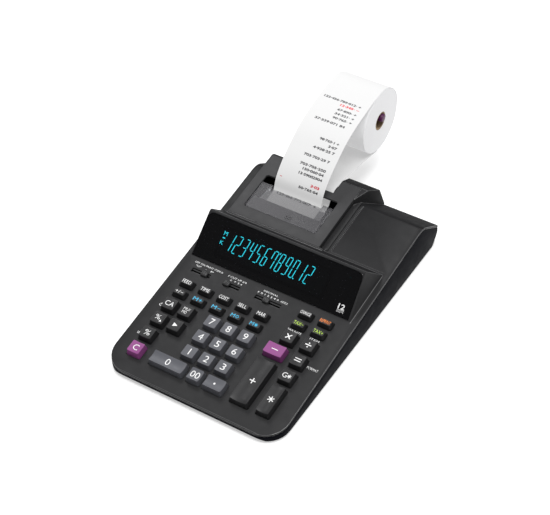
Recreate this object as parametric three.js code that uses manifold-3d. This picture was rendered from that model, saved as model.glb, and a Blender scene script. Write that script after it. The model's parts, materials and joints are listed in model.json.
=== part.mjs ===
// Desktop printing calculator: wedge case, tilted display, sprung keys, roll-paper printer.
// Millimetres, +Z up, +X to the user's right, front edge towards -Y.
// The body is drawn about its own middle, then the whole group is shifted so that the origin
// is the bottom centre of the complete object, paper roll included.
import * as THREE from 'three';
import { mergeVertices } from 'three/addons/utils/BufferGeometryUtils.js';
import Module from 'manifold-3d';

const wasm = await Module();
wasm.setup();

// ---------------------------------------------------------------- driving dimensions
const WIDTH = 195;                 // case width
const DEPTH = 313;                 // case depth, front edge to rear lip
const HALF_W = WIDTH / 2;
const FRONT = -DEPTH / 2;
const REAR = DEPTH / 2;
const FOOT_H = 2;                  // moulded feet below the case bottom
const DECK_FRONT_H = 8.5;          // deck height at the front edge
const DECK_SLOPE = THREE.MathUtils.degToRad(7.36);
const SKIN = 2.2;                  // upper case wall
const WALL = 2.5;                  // lower case wall
const FLOOR = 2;                   // lower case floor
const GAP = 0.3;                   // parting and assembly gap
const CORNER_FRONT = 24;           // plan radius of the front corners
const CORNER_REAR = 4;

const DECK_END = 112;              // where the deck starts to bend down, in Y
const PAPER_W = 56;                // width of the paper tape and roll
const PAPER_X0 = -61;              // left edge of the tape
const PAPER_X1 = PAPER_X0 + PAPER_W;
const PAPER_T = 0.4;               // drawn thickness of the tape
const ROLL = { y: 217.5, z: 69.1, r: 35.8 };
const CORE = { bore: 8.6, r: 10.2 };
const PLATEN = { y: 80, z: 31.5, r: 7 };
const KEY_TRAVEL = 2.5;
const SHIFT_Y = (FRONT + ROLL.y + ROLL.r + GAP + PAPER_T) / 2;

const deckZ = (y) => DECK_FRONT_H + (y - FRONT) * Math.tan(DECK_SLOPE);

// ---------------------------------------------------------------- colours
const plastic = (color, roughness = 0.55) =>
  new THREE.MeshStandardMaterial({ color, roughness, metalness: 0 });
const metal = (color) => new THREE.MeshStandardMaterial({ color, roughness: 0.35, metalness: 1 });
const COLOR = {
  deck: 0x404042, side: 0x212227, cover: 0x565658, window: 0x67666b, gloss: 0x0c0c0e,
  keyGrey: 0x5c5c61, keyDark: 0x2e2e30, keyPurple: 0x8e5686, keySmall: 0x262627,
  paper: 0xf6f6f6, core: 0x9c8a70, spindle: 0x502749, board: 0x1f5a38, mat: 0x1e1f20,
};

// ---------------------------------------------------------------- geometry helpers
// A closed three.js geometry as a solid, moved by an optional matrix.
function solid(geometry, matrix = null) {
  let g = geometry.clone();
  g.deleteAttribute('normal');
  g.deleteAttribute('uv');
  if (matrix) g.applyMatrix4(matrix);
  g = mergeVertices(g, 1e-5);
  return new wasm.Manifold(new wasm.Mesh({
    numProp: 3,
    vertProperties: new Float32Array(g.attributes.position.array),
    triVerts: new Uint32Array(g.index.array),
  }));
}

function toGeometry(manifold) {
  const mesh = manifold.getMesh();
  const g = new THREE.BufferGeometry();
  g.setAttribute('position', new THREE.BufferAttribute(mesh.vertProperties, 3));
  g.setIndex(new THREE.BufferAttribute(mesh.triVerts, 1));
  return g;
}

function outline(points) {
  return new THREE.Shape(points.map(([u, v]) => new THREE.Vector2(u, v)));
}

function extrude(shape, depth, curveSegments = 4) {
  return new THREE.ExtrudeGeometry(shape, { depth, bevelEnabled: false, curveSegments });
}

// Shape coordinates (u, v) and depth w become Y, Z and X.
const SIDEWAYS = new THREE.Matrix4().makeBasis(
  new THREE.Vector3(0, 1, 0), new THREE.Vector3(0, 0, 1), new THREE.Vector3(1, 0, 0));

function profileX(points, x0, x1) {
  const place = new THREE.Matrix4().makeTranslation(x0, 0, 0).multiply(SIDEWAYS);
  return solid(extrude(outline(points), x1 - x0), place);
}

function plan(shapeOrPoints, z0, z1, matrix = null, curveSegments = 4) {
  const shape = Array.isArray(shapeOrPoints) ? outline(shapeOrPoints) : shapeOrPoints;
  const lift = new THREE.Matrix4().makeTranslation(0, 0, z0);
  return solid(extrude(shape, z1 - z0, curveSegments), matrix ? matrix.clone().multiply(lift) : lift);
}

function box(x0, x1, y0, y1, z0, z1, matrix = null) {
  const g = new THREE.BoxGeometry(x1 - x0, y1 - y0, z1 - z0);
  g.translate((x0 + x1) / 2, (y0 + y1) / 2, (z0 + z1) / 2);
  return solid(g, matrix);
}

function rod(r, x0, x1, y, z, sides = 32) {
  const g = new THREE.CylinderGeometry(r, r, x1 - x0, sides);
  g.rotateZ(Math.PI / 2);
  g.translate((x0 + x1) / 2, y, z);
  return solid(g);
}

// Rectangle with its own radius on the front and the rear corners.
function roundedRect(x0, x1, y0, y1, rFront, rRear = rFront) {
  const s = new THREE.Shape();
  s.moveTo(x0 + rFront, y0);
  s.lineTo(x1 - rFront, y0);
  s.absarc(x1 - rFront, y0 + rFront, rFront, -Math.PI / 2, 0);
  s.lineTo(x1, y1 - rRear);
  s.absarc(x1 - rRear, y1 - rRear, rRear, 0, Math.PI / 2);
  s.lineTo(x0 + rRear, y1);
  s.absarc(x0 + rRear, y1 - rRear, rRear, Math.PI / 2, Math.PI);
  s.lineTo(x0, y0 + rFront);
  s.absarc(x0 + rFront, y0 + rFront, rFront, Math.PI, 1.5 * Math.PI);
  return s;
}

// The deck's own frame: X across, Y up the slope from the front edge, Z square to the deck.
const DECK = new THREE.Matrix4()
  .makeTranslation(0, FRONT, DECK_FRONT_H)
  .multiply(new THREE.Matrix4().makeRotationX(DECK_SLOPE));

const object = new THREE.Group();
object.name = 'desk_calculator';
object.position.set(0, -SHIFT_Y, FOOT_H);
const deckGroup = new THREE.Group();
deckGroup.applyMatrix4(DECK);
object.add(deckGroup);

function addPart(name, geometry, material, parent = object) {
  const mesh = new THREE.Mesh(geometry, material);
  mesh.name = name;
  parent.add(mesh);
  return mesh;
}

// ---------------------------------------------------------------- case
const bodyPlan = (inset) => roundedRect(
  -HALF_W + inset, HALF_W - inset, FRONT + inset, REAR - inset,
  CORNER_FRONT - inset, Math.max(CORNER_REAR - inset, 1));

// Outer skin line from the front edge over the deck and down the rear slope.
const REAR_BEND = [[DECK_END, 0], [117, -0.5], [121, -1.7], [126, -4.2]];
const REAR_SLOPE_END = [154.2, 20.6];
function skinLine(drop) {
  return [
    [FRONT, DECK_FRONT_H - 0.7 - drop],
    [FRONT + 0.8, DECK_FRONT_H + 0.1 - drop],
    ...REAR_BEND.map(([y, dz]) => [y, deckZ(y) + dz - drop]),
    [REAR_SLOPE_END[0] - 0.5 * drop, REAR_SLOPE_END[1] - 0.9 * drop],
    [REAR - 0.3 - 0.2 * drop, REAR_SLOPE_END[1] - 3 - drop],
  ];
}

// Footprints of the keys and switches, in the deck's frame.
const ROW0 = 25.9;
const ROW_PITCH = 19.4;
const COL_PITCH = 19;
const rowS = (i) => ROW0 + i * ROW_PITCH;
const colX = (i) => -24.9 + i * COL_PITCH;
const TAPER = 2.2;                 // how much narrower a tall key is at its top
const tall = (w, d) => ({ w, d, tw: w - TAPER, td: d - TAPER, h: 6.9, r: 1.4 });
const STANDARD = tall(15.2, 14.8);
const SMALL = { w: 15.4, d: 9.4, tw: 12.6, td: 6.2, h: 5, r: 2.2 };

const keys = [];
function addKey(name, x, s, kind, color, size = {}) {
  keys.push({ name, x, s, color, ...kind, ...size });
}
[['1', '2', '3'], ['4', '5', '6'], ['7', '8', '9']].forEach((row, j) => row.forEach((digit, i) =>
  addKey(`key_${digit}`, colX(i), rowS(j + 1), STANDARD, COLOR.keyGrey)));
addKey('key_0', -36.9, rowS(0), tall(38.6, 14.8), COLOR.keyGrey);
addKey('key_00', colX(1), rowS(0), STANDARD, COLOR.keyGrey);
addKey('key_point', 15.6, rowS(0), tall(22, 14.8), COLOR.keyGrey);

const LEFT_X = [-73.6, -54.6];
addKey('key_clear', LEFT_X[0], rowS(0), STANDARD, COLOR.keyPurple);
addKey('key_percent', LEFT_X[0], rowS(1), STANDARD, COLOR.keyDark);
addKey('key_delta_percent', LEFT_X[0], rowS(2), STANDARD, COLOR.keyDark);
addKey('key_shift_back', LEFT_X[1], rowS(2), STANDARD, COLOR.keyDark);
addKey('key_clear_all', LEFT_X[0], rowS(3) - 0.4, STANDARD, COLOR.keyDark);
addKey('key_markup', LEFT_X[1], rowS(3) - 0.4, STANDARD, COLOR.keyDark);

const SMALL_X0 = -74;
const SMALL_PITCH = 21.5;
const SMALL_S = [100.8, 114.2];
[['key_sign', 'key_feed'], ['key_memory_plus', 'key_time'], ['key_memory_minus', 'key_cost'],
  ['key_memory_subtotal', 'key_sell'], ['key_memory_total', 'key_margin']].forEach((pair, i) =>
  pair.forEach((name, j) =>
    addKey(name, SMALL_X0 + i * SMALL_PITCH, SMALL_S[j], SMALL, COLOR.keySmall)));

const RIGHT_X = [49.5, 71.1];
const RIGHT_SMALL_S = [121, 134.4];
[['key_tax_minus', 'key_change'], ['key_tax_plus', 'key_reprint']].forEach((pair, i) =>
  pair.forEach((name, j) => addKey(name, RIGHT_X[i], RIGHT_SMALL_S[j], SMALL, COLOR.keySmall)));
addKey('key_multiply', RIGHT_X[0], rowS(4) - 0.4, STANDARD, COLOR.keyDark);
addKey('key_divide', RIGHT_X[1], rowS(4) - 0.4, STANDARD, COLOR.keyDark);
addKey('key_minus', 45.6, rowS(3) + 0.4, tall(21.6, 14.8), COLOR.keyPurple);
addKey('key_equals', RIGHT_X[1], rowS(3), STANDARD, COLOR.keyDark);
addKey('key_grand_total', RIGHT_X[1], rowS(2) - 0.4, STANDARD, COLOR.keyDark);
addKey('key_plus', 45.4, rowS(1), tall(20.6, 2 * ROW_PITCH + 14.8), COLOR.keyDark);
addKey('key_total', 71.3, rowS(0.5), tall(15, ROW_PITCH + 14.8), COLOR.keyDark);

// Slots of the three slide switches: centre, length, and the knob's rest place from the centre.
const SLOT_S = 132.4;
const SLOT_D = 5.2;
const KNOB = { w: 7.4, d: 6.4, h: 3.2, stem: 2.6 };
const SWITCHES = [
  { name: 'switch_function', x: -70.5, length: 21.5, knob: 4.4 },
  { name: 'switch_rounding', x: -35, length: 19, knob: -5 },
  { name: 'switch_decimal', x: 7, length: 29, knob: -1.6 },
];

// Display housing: a roof across the case, front slope under the lens, back slope behind.
const DISPLAY = { y0: -10.4, ridgeY: 26.6, tilt: THREE.MathUtils.degToRad(40), backY: 52.5 };
DISPLAY.z0 = deckZ(DISPLAY.y0);
DISPLAY.ridgeZ = DISPLAY.z0 + (DISPLAY.ridgeY - DISPLAY.y0) * Math.tan(DISPLAY.tilt);
DISPLAY.length = (DISPLAY.ridgeY - DISPLAY.y0) / Math.cos(DISPLAY.tilt);
// Both ends of the housing and of the lens: place in X and how far each leans in, as run over
// rise. The right end of the housing is a broad sloping cheek.
const DISPLAY_ENDS = [{ side: -1, x: 92.2, lean: 0.02 }, { side: 1, x: 90.6, lean: 0.2 }];
const LENS_ENDS = [{ side: -1, x: 92.2, lean: 0.02 }, { side: 1, x: 88.3, lean: 0.0875 }];
const LENS_T = 2;
const TUBE = { x0: -67, x1: 50, s0: 11, s1: 37, top: -4.4, bottom: -10 };
const GLASS = new THREE.Matrix4()
  .makeTranslation(0, DISPLAY.y0, DISPLAY.z0)
  .multiply(new THREE.Matrix4().makeRotationX(DISPLAY.tilt));

// Slanted end cutters give the display housing its slightly leaning side walls.
function leanEnds(part) {
  let result = part;
  DISPLAY_ENDS.forEach(({ side, x, lean }) => {
    const m = DECK.clone()
      .multiply(new THREE.Matrix4().makeTranslation(side * x, 0, 0))
      .multiply(new THREE.Matrix4().makeRotationY(-side * Math.atan(lean)));
    const x0 = side > 0 ? 0 : -60;
    result = result.subtract(box(x0, x0 + 60, 80, 260, -60, 120, m));
  });
  return result;
}

// Printer housing: a raised surround on the left of the case, capped by the printer cover.
const HUMP = { x0: -86.5, x1: 20, y0: 46.5, y1: 134, h: 6, baseX1: 24.5 };
const COVER_Y0 = 50;
const COVER_T = 2.4;
const WINDOW = { x0: -76.3, x1: 8.2, y0: 62.8, y1: 108.2 };
const NOTCH = { x0: -63.5, x1: -2.5, y0: 116.6 };
const humpTop = (y) => deckZ(y) + HUMP.h;

// The tray on the right, a shallow recess behind the display.
const TRAY = { x0: 30, x1: 93.6, s0: 213.5, s1: 280.5, depth: 1.6, r: 3 };

function displayRoof() {
  const under = 6;
  const outer = [
    [DISPLAY.y0, DISPLAY.z0 - under], [DISPLAY.y0, DISPLAY.z0],
    [DISPLAY.ridgeY, DISPLAY.ridgeZ], [DISPLAY.ridgeY + 3, DISPLAY.ridgeZ - 0.4],
    [DISPLAY.backY, deckZ(DISPLAY.backY)], [DISPLAY.backY, deckZ(DISPLAY.backY) - under],
  ];
  return leanEnds(profileX(outer, -HALF_W + 0.5, HALF_W - 0.5));
}

const DISPLAY_INNER = 84;          // half width of the room under the display housing
function displayHollow() {
  const t = 3 * SKIN;
  const inner = [
    [DISPLAY.y0 + t, DISPLAY.z0 - 12], [DISPLAY.y0 + t, DISPLAY.z0 + 1.6],
    [DISPLAY.ridgeY, DISPLAY.ridgeZ - 7], [DISPLAY.backY - 4, deckZ(DISPLAY.backY) - 1],
    [DISPLAY.backY - 4, deckZ(DISPLAY.backY) - 12],
  ];
  return profileX(inner, -DISPLAY_INNER, DISPLAY_INNER);
}

// Outline of the lens in the plane of the glass, a trapezium with round upper corners.
function lensOutline(inset) {
  const rise = Math.sin(DISPLAY.tilt);
  const [x0, x1] = LENS_ENDS.map(({ side, x }) => side * (x - inset));
  const [lean0, lean1] = LENS_ENDS.map(({ side, lean }) => -side * lean * rise);
  const s0 = inset;
  const s1 = DISPLAY.length - inset;
  const r = 7;
  const shape = new THREE.Shape();
  shape.moveTo(x0 + lean0 * s0, s0);
  shape.lineTo(x1 + lean1 * s0, s0);
  shape.lineTo(x1 + lean1 * (s1 - r), s1 - r);
  shape.quadraticCurveTo(x1 + lean1 * s1, s1, x1 + lean1 * s1 - r, s1);
  shape.lineTo(x0 + lean0 * s1 + r, s1);
  shape.quadraticCurveTo(x0 + lean0 * s1, s1, x0 + lean0 * (s1 - r), s1 - r);
  return shape;
}

// Right rear block behind the cover, flaring to the rear, and its small twin on the left.
const BLOCK_FALL = 0.5;            // slope of the blocks' tops
const BLOCK_Y0 = HUMP.y1 + GAP;
function rearBlocks() {
  const z = (y) => humpTop(HUMP.y1) - BLOCK_FALL * (y - HUMP.y1);
  const side = (front, yTop) => [
    ...front, [BLOCK_Y0, humpTop(HUMP.y1)], [yTop, z(yTop)],
    [yTop + 1.5, z(yTop) - 1], [154.5, 22], [153.4, 20.2],
  ];
  const flare = HUMP.x1 + GAP;
  const right = profileX(side([[126, deckZ(126) - 5.4], [116, deckZ(116) - 1], [116, humpTop(116)]],
    147), NOTCH.x1, 40).intersect(plan([[NOTCH.x1, BLOCK_Y0], [flare, BLOCK_Y0], [flare, 117],
    [HUMP.baseX1, 127], [35.5, 154], [35.5, 158], [NOTCH.x1, 158]], 0, 90));
  const left = profileX(side([[BLOCK_Y0, 33.4]], 136.5), HUMP.x0, NOTCH.x0);
  return right.add(left);
}

function upperCase() {
  const skin = [...skinLine(0), ...skinLine(SKIN).reverse()];
  let shell = profileX(skin, -HALF_W, HALF_W);
  // Printer surround: closed walls around the mechanism, below the cover.
  const wall = 2.4;
  const humpPlan = [[HUMP.x0, HUMP.y0], [HUMP.baseX1, HUMP.y0], [HUMP.baseX1, 133], [HUMP.x0, 133]];
  const inner = [[HUMP.x0 + wall, COVER_Y0 + wall], [HUMP.x1 - wall, COVER_Y0 + wall],
    [HUMP.x1 - wall, 122], [HUMP.x0 + wall, 122]];
  const surround = plan(humpPlan, 20, 80).intersect(profileX([
    [HUMP.y0, deckZ(HUMP.y0) - 4], [HUMP.y0, humpTop(HUMP.y0) - 2],
    [HUMP.y0 + 1.2, humpTop(HUMP.y0 + 1.2) - 0.4], [COVER_Y0 - GAP, humpTop(COVER_Y0 - GAP)],
    [COVER_Y0 - GAP, deckZ(COVER_Y0) + 0.4], [133, deckZ(133) - 4], [133, deckZ(133) - 8],
  ], HUMP.x0, HUMP.baseX1));
  shell = shell.add(displayRoof()).add(surround).add(rearBlocks());
  // Rib beside the printer housing.
  shell = shell.add(box(HUMP.baseX1 + 0.6, HUMP.baseX1 + 2.6, 212, 280, -1, 0.9, DECK));
  shell = shell.subtract(displayHollow());
  // Room for the printer cover.
  shell = shell.subtract(profileX([
    [COVER_Y0 - GAP, deckZ(COVER_Y0) + 0.5], [COVER_Y0 - GAP, 90], [BLOCK_Y0 - 0.01, 90],
    [BLOCK_Y0 - 0.01, deckZ(BLOCK_Y0) + 0.5]], HUMP.x0 - GAP, HUMP.x1 + GAP));
  // Seat for the lens and the opening behind it for the display tube.
  shell = shell.subtract(plan(lensOutline(0.6), -LENS_T - GAP, 30, GLASS));
  shell = shell.subtract(box(TUBE.x0 - 4, TUBE.x1 + 4, TUBE.s0 - 3, TUBE.s1 + 3, -14, 0, GLASS));
  // Deck under the display and under the printer is open to the inside.
  shell = shell.subtract(box(-DISPLAY_INNER, DISPLAY_INNER, DISPLAY.y0 + 8, DISPLAY.backY - 6,
    deckZ(0) - 14, deckZ(DISPLAY.y0) + 3));
  shell = shell.subtract(plan(inner, 10, 80));
  // Paper inlet behind the cover's cross-bar.
  shell = shell.subtract(plan([[NOTCH.x0 + 1, 110], [NOTCH.x1 - 1, 110], [NOTCH.x1 - 1, 124],
    [NOTCH.x0 + 1, 124]], 10, 80));
  // Shallow tray.
  shell = shell.subtract(plan(roundedRect(TRAY.x0, TRAY.x1, TRAY.s0, TRAY.s1, TRAY.r),
    -TRAY.depth, 8, DECK));
  // The tray floor is kept solid from below.
  shell = shell.add(plan(roundedRect(TRAY.x0 - 2, TRAY.x1 + 1, TRAY.s0 - 1, TRAY.s1 - 5, TRAY.r),
    -TRAY.depth - SKIN, -TRAY.depth, DECK));
  keys.forEach((k) => {
    const c = 0.45;
    shell = shell.subtract(plan(roundedRect(k.x - k.w / 2 - c, k.x + k.w / 2 + c,
      k.s - k.d / 2 - c, k.s + k.d / 2 + c, k.r), -6, 4, DECK, 1));
  });
  SWITCHES.forEach(({ x, length }) => {
    shell = shell.subtract(plan(roundedRect(x - length / 2, x + length / 2,
      SLOT_S - SLOT_D / 2, SLOT_S + SLOT_D / 2, 0.6), -6, 4, DECK, 1));
  });
  // Slot that the roll holder's tongue plugs into.
  shell = shell.subtract(box(ARM.x0 - GAP, ARM.x1 + GAP, ARM.tongue - GAP,
    ARM.tongueEnd + GAP, 10, 60));
  return shell.intersect(plan(bodyPlan(0), -5, 90));
}

function lowerCase() {
  const drop = SKIN + GAP;
  const top = skinLine(drop);
  const rearWall = [[REAR - 0.8, 15], [REAR - 10.5, 2], [REAR - 13.5, 0]];
  const outer = [...top, ...rearWall, [FRONT + 3, 0], [FRONT, 2.6]];
  let shell = profileX(outer, -HALF_W, HALF_W).intersect(plan(bodyPlan(0), -5, 90));
  const cavity = [
    ...skinLine(-6).slice(1, -2), [146, 40], [REAR - 8, 18], [REAR - 14, FLOOR + 3],
    [REAR - 17, FLOOR], [FRONT + WALL + 1, FLOOR],
  ];
  shell = shell.subtract(profileX(cavity, -HALF_W, HALF_W).intersect(plan(bodyPlan(WALL), -5, 90)));
  [-1, 1].forEach((side) => [FRONT + 26, REAR - 34].forEach((y) => {
    const foot = new THREE.CylinderGeometry(7, 6.4, FOOT_H + 1, 24);
    foot.rotateX(Math.PI / 2);
    foot.translate(side * (HALF_W - 20), y, (1 - FOOT_H) / 2);
    shell = shell.add(solid(foot));
  }));
  return shell;
}

// ---------------------------------------------------------------- printer cover and window
function printerCover() {
  const channel = plan([
    [HUMP.x0, COVER_Y0], [HUMP.x1, COVER_Y0], [HUMP.x1, HUMP.y1], [HUMP.x0, HUMP.y1]], 10, 90)
    .intersect(profileX([
      [COVER_Y0, deckZ(COVER_Y0) + 0.8], [COVER_Y0, humpTop(COVER_Y0)],
      [HUMP.y1, humpTop(HUMP.y1)], [HUMP.y1, deckZ(HUMP.y1) + 0.8]], HUMP.x0, HUMP.x1));
  const t = COVER_T;
  const inside = profileX([
    [COVER_Y0 - 1, deckZ(COVER_Y0) - 2], [COVER_Y0 - 1, humpTop(COVER_Y0 - 1) - t],
    [HUMP.y1 + 1, humpTop(HUMP.y1 + 1) - t], [HUMP.y1 + 1, deckZ(HUMP.y1) - 2],
  ], HUMP.x0 + t, HUMP.x1 - t);
  let cover = channel.subtract(inside);
  cover = cover.subtract(plan(roundedRect(WINDOW.x0, WINDOW.x1, WINDOW.y0, WINDOW.y1, 2.5), 10, 90));
  cover = cover.subtract(plan(
    [[NOTCH.x0, NOTCH.y0], [NOTCH.x1, NOTCH.y0], [NOTCH.x1, 140], [NOTCH.x0, 140]], 10, 90));
  return cover;
}

// The smoky tear window: a plate with two lugs beside the paper exit and a thickened tear edge.
const TEAR = { edgeY: 94.4, lugY: 98.4, t: 1.8 };
function tearWindow() {
  const g = 0.6;
  const drop = 0.5;
  const plate = [
    [WINDOW.x0 + g, WINDOW.y0 + g + 2], [WINDOW.x0 + g + 2, WINDOW.y0 + g],
    [WINDOW.x1 - g - 2, WINDOW.y0 + g], [WINDOW.x1 - g, WINDOW.y0 + g + 2],
    [WINDOW.x1 - g, TEAR.lugY], [PAPER_X1 + 1.5, TEAR.lugY], [PAPER_X1 + 1.5, TEAR.edgeY],
    [PAPER_X0 - 1.5, TEAR.edgeY], [PAPER_X0 - 1.5, TEAR.lugY], [WINDOW.x0 + g, TEAR.lugY],
  ];
  const slab = profileX([
    [WINDOW.y0, humpTop(WINDOW.y0) - drop - TEAR.t], [WINDOW.y0, humpTop(WINDOW.y0) - drop],
    [TEAR.lugY, humpTop(TEAR.lugY) - drop], [TEAR.lugY, humpTop(TEAR.lugY) - drop - TEAR.t],
  ], WINDOW.x0, WINDOW.x1);
  return plan(plate, 10, 90).intersect(slab);
}

// ---------------------------------------------------------------- paper
// Path of the tape in the YZ plane: off the roll's bottom, over the rear of the case, down the
// inlet, round the platen, under the window, out at the tear edge and back over the roll.
function tapePath() {
  const r = ROLL.r + GAP + PAPER_T / 2;
  const leave = THREE.MathUtils.degToRad(-100);
  const feed = new THREE.CatmullRomCurve3([
    [ROLL.y + r * Math.cos(leave), ROLL.z + r * Math.sin(leave)],
    [182, 39.2], [152, 44.6], [133, 46.8], [123, 46.6], [117, 42.5], [111.5, 35.5],
  ].map(([y, z]) => new THREE.Vector3(0, y, z)), false, 'centripetal').getPoints(24);
  const wrapR = PLATEN.r + 0.5;
  const wrap = [];
  for (let a = -75; a >= -235; a -= 16) {
    const t = THREE.MathUtils.degToRad(a);
    wrap.push(new THREE.Vector3(0, PLATEN.y + wrapR * Math.cos(t), PLATEN.z + wrapR * Math.sin(t)));
  }
  const over = new THREE.CatmullRomCurve3([
    [82, humpTop(82) - 4.1], [90, humpTop(90) - 3.8], [94.6, humpTop(94.6) - 3.1],
    [97, humpTop(97) - 0.2], [102.3, 58],
    [115, 70.7], [130.5, 81.2], [148, 91], [168, 97.8], [190, 102.3], [205, 104.8],
  ].map(([y, z]) => new THREE.Vector3(0, y, z)), false, 'centripetal').getPoints(34);
  const onRoll = [];
  for (let a = 92; a >= 0; a -= 11.5) {
    const t = THREE.MathUtils.degToRad(a);
    onRoll.push(new THREE.Vector3(0, ROLL.y + r * Math.cos(t), ROLL.z + r * Math.sin(t)));
  }
  return [...feed, ...wrap, ...over, ...onRoll];
}

function paperTape() {
  const path = tapePath();
  const left = [];
  const right = [];
  path.forEach((p, i) => {
    const before = path[Math.max(i - 1, 0)];
    const after = path[Math.min(i + 1, path.length - 1)];
    const normal = new THREE.Vector2(-(after.z - before.z), after.y - before.y)
      .normalize().multiplyScalar(PAPER_T / 2);
    left.push([p.y + normal.x, p.z + normal.y]);
    right.push([p.y - normal.x, p.z - normal.y]);
  });
  return profileX([...left, ...right.reverse()], PAPER_X0, PAPER_X1);
}

const ring = (rOut, rIn, sides) => rod(rOut, PAPER_X0, PAPER_X1, ROLL.y, ROLL.z, sides)
  .subtract(rod(rIn, PAPER_X0 - 1, PAPER_X1 + 1, ROLL.y, ROLL.z, sides));

// Roll holder: one arm on the left whose tongue plugs into the rear slope.
const ARM = { x0: -71.5, x1: -67.5, tongue: 138, tongueEnd: 145 };
const SPINDLE = { y: ROLL.y + 2.8, z: ROLL.z + 2.5, r: 4.25 };

function paperArm() {
  const side = [
    [ARM.tongue, 27], [ARM.tongueEnd, 25], [ARM.tongueEnd, 38.7], [156, 42], [178, 49], [206, 59],
    [SPINDLE.y + 4, SPINDLE.z - 8], [SPINDLE.y + 8.5, SPINDLE.z - 2], [SPINDLE.y + 8, SPINDLE.z + 4],
    [SPINDLE.y + 3, SPINDLE.z + 8.5], [SPINDLE.y - 3, SPINDLE.z + 8], [198, 68], [174, 59],
    [152, 53.5], [142, 52.5], [ARM.tongue, 50],
  ];
  return profileX(side, ARM.x0, ARM.x1);
}

// ---------------------------------------------------------------- parts
addPart('upper_case', toGeometry(upperCase()), plastic(COLOR.deck));
addPart('lower_case', toGeometry(lowerCase()), plastic(COLOR.side));

addPart('display_lens', toGeometry(plan(lensOutline(0.9), -LENS_T, 0, GLASS)),
  plastic(COLOR.gloss, 0.08));
addPart('display_tube', toGeometry(box(TUBE.x0, TUBE.x1, TUBE.s0, TUBE.s1, TUBE.bottom, TUBE.top,
  GLASS)), plastic(0x101416, 0.1));

addPart('printer_cover', toGeometry(printerCover()), plastic(COLOR.cover));
const windowMaterial = plastic(COLOR.window, 0.2);
windowMaterial.transparent = true;
windowMaterial.opacity = 0.6;
addPart('tear_window', toGeometry(tearWindow()), windowMaterial);

addPart('paper_tape', toGeometry(paperTape()), plastic(COLOR.paper, 0.9));
addPart('paper_roll', toGeometry(ring(ROLL.r, CORE.r + 0.1, 64)), plastic(COLOR.paper, 0.9));
addPart('roll_core', toGeometry(ring(CORE.r, CORE.bore, 32)), plastic(COLOR.core, 0.9));
addPart('paper_arm', toGeometry(paperArm()), plastic(COLOR.side));
addPart('roll_spindle', toGeometry(rod(SPINDLE.r, ARM.x1 + GAP, PAPER_X1 - 1, SPINDLE.y, SPINDLE.z)
  .add(rod(11, ARM.x1 + GAP, PAPER_X0 - 3, SPINDLE.y, SPINDLE.z))), plastic(COLOR.spindle));

// Print mechanism: a frame with two cheeks, the platen between them and the ink roller in front.
const CHEEK = { x0: -68, x1: 2, t: 3.5 };
let printFrame = box(CHEEK.x0 - CHEEK.t, CHEEK.x1 + CHEEK.t, 54, 112, 4, 9)
  .add(box(CHEEK.x0 + 1, CHEEK.x1 - 1, 55, 68, 8, 27));
[CHEEK.x0 - CHEEK.t, CHEEK.x1].forEach((x) => {
  printFrame = printFrame.add(box(x, x + CHEEK.t, 56, 104, 8, 37));
});
addPart('print_unit', toGeometry(printFrame), metal(0x8d9094));
addPart('platen_roller', toGeometry(rod(PLATEN.r, -64, -2, PLATEN.y, PLATEN.z)
  .add(rod(2.4, CHEEK.x0 + GAP, CHEEK.x1 - GAP, PLATEN.y, PLATEN.z, 16))), plastic(0x1b1b1c, 0.9));
addPart('ink_roller', toGeometry(rod(4.4, CHEEK.x0 + 3, CHEEK.x1 - 3, 62.6, 32.2)
  .add(rod(1.6, CHEEK.x0 + GAP, CHEEK.x1 - GAP, 62.6, 32.2, 12))), plastic(0x35224a, 0.9));
addPart('print_motor', toGeometry(rod(8.5, 7, 16, 70, 20, 28).add(rod(1.5, 6, 8, 70, 20, 10))),
  metal(0xa5a7aa));
addPart('power_transformer', toGeometry(box(38, 84, 62, 104, 4.5, 29)
  .add(box(44, 78, 67, 99, 3.5, 32))), metal(0x55585c));

// Boards and key mat lie parallel to the deck.
const MAT_TOP = -(SKIN + 0.9 + KEY_TRAVEL + 0.4);
addPart('key_mat', toGeometry(box(-84, 84, 14, 140, MAT_TOP - 0.8, MAT_TOP)), plastic(COLOR.mat, 0.9),
  deckGroup);
addPart('circuit_board', toGeometry(box(-86, 86, 14, 142, MAT_TOP - 2.1, MAT_TOP - 1)),
  plastic(COLOR.board), deckGroup);

// ---------------------------------------------------------------- keys and switch knobs
// Levels of a key from its hidden retaining rim up to its top face.
function keyGeometry({ w, d, tw, td, h, r }) {
  const rim = 0.9;
  const levels = [
    { z: -SKIN - rim, dw: 1.6, dd: 1.6 }, { z: -SKIN - GAP, dw: 1.6, dd: 1.6 },
    { z: -SKIN - GAP + 0.05, dw: 0, dd: 0 }, { z: 0.5, dw: 0, dd: 0 },
    { z: h, dw: tw - w, dd: td - d },
  ];
  const shape = roundedRect(-w / 2, w / 2, -d / 2, d / 2, r);
  const steps = levels.length - 1;
  const g = new THREE.ExtrudeGeometry(shape, { depth: steps, steps, bevelEnabled: false,
    curveSegments: 1 });
  const p = g.attributes.position;
  for (let i = 0; i < p.count; i += 1) {
    const level = levels[Math.round(p.getZ(i))];
    p.setXYZ(i, p.getX(i) * (1 + level.dw / w), p.getY(i) * (1 + level.dd / d), level.z);
  }
  return toGeometry(solid(g));
}

keys.forEach((k) => {
  const mesh = addPart(k.name, keyGeometry(k), plastic(k.color), deckGroup);
  mesh.position.set(k.x, k.s, 0);
});

SWITCHES.forEach(({ name, x, knob }) => {
  const cap = plan(roundedRect(-KNOB.w / 2, KNOB.w / 2, -KNOB.d / 2, KNOB.d / 2, 1.6), GAP, KNOB.h);
  const stem = box(-KNOB.stem, KNOB.stem, -SLOT_D / 2 + GAP, SLOT_D / 2 - GAP, -SKIN - 1.2, 1);
  const mesh = addPart(`${name}_knob`, toGeometry(cap.add(stem)), plastic(COLOR.keySmall), deckGroup);
  mesh.position.set(x + knob, SLOT_S, 0);
});

export default object;
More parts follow.
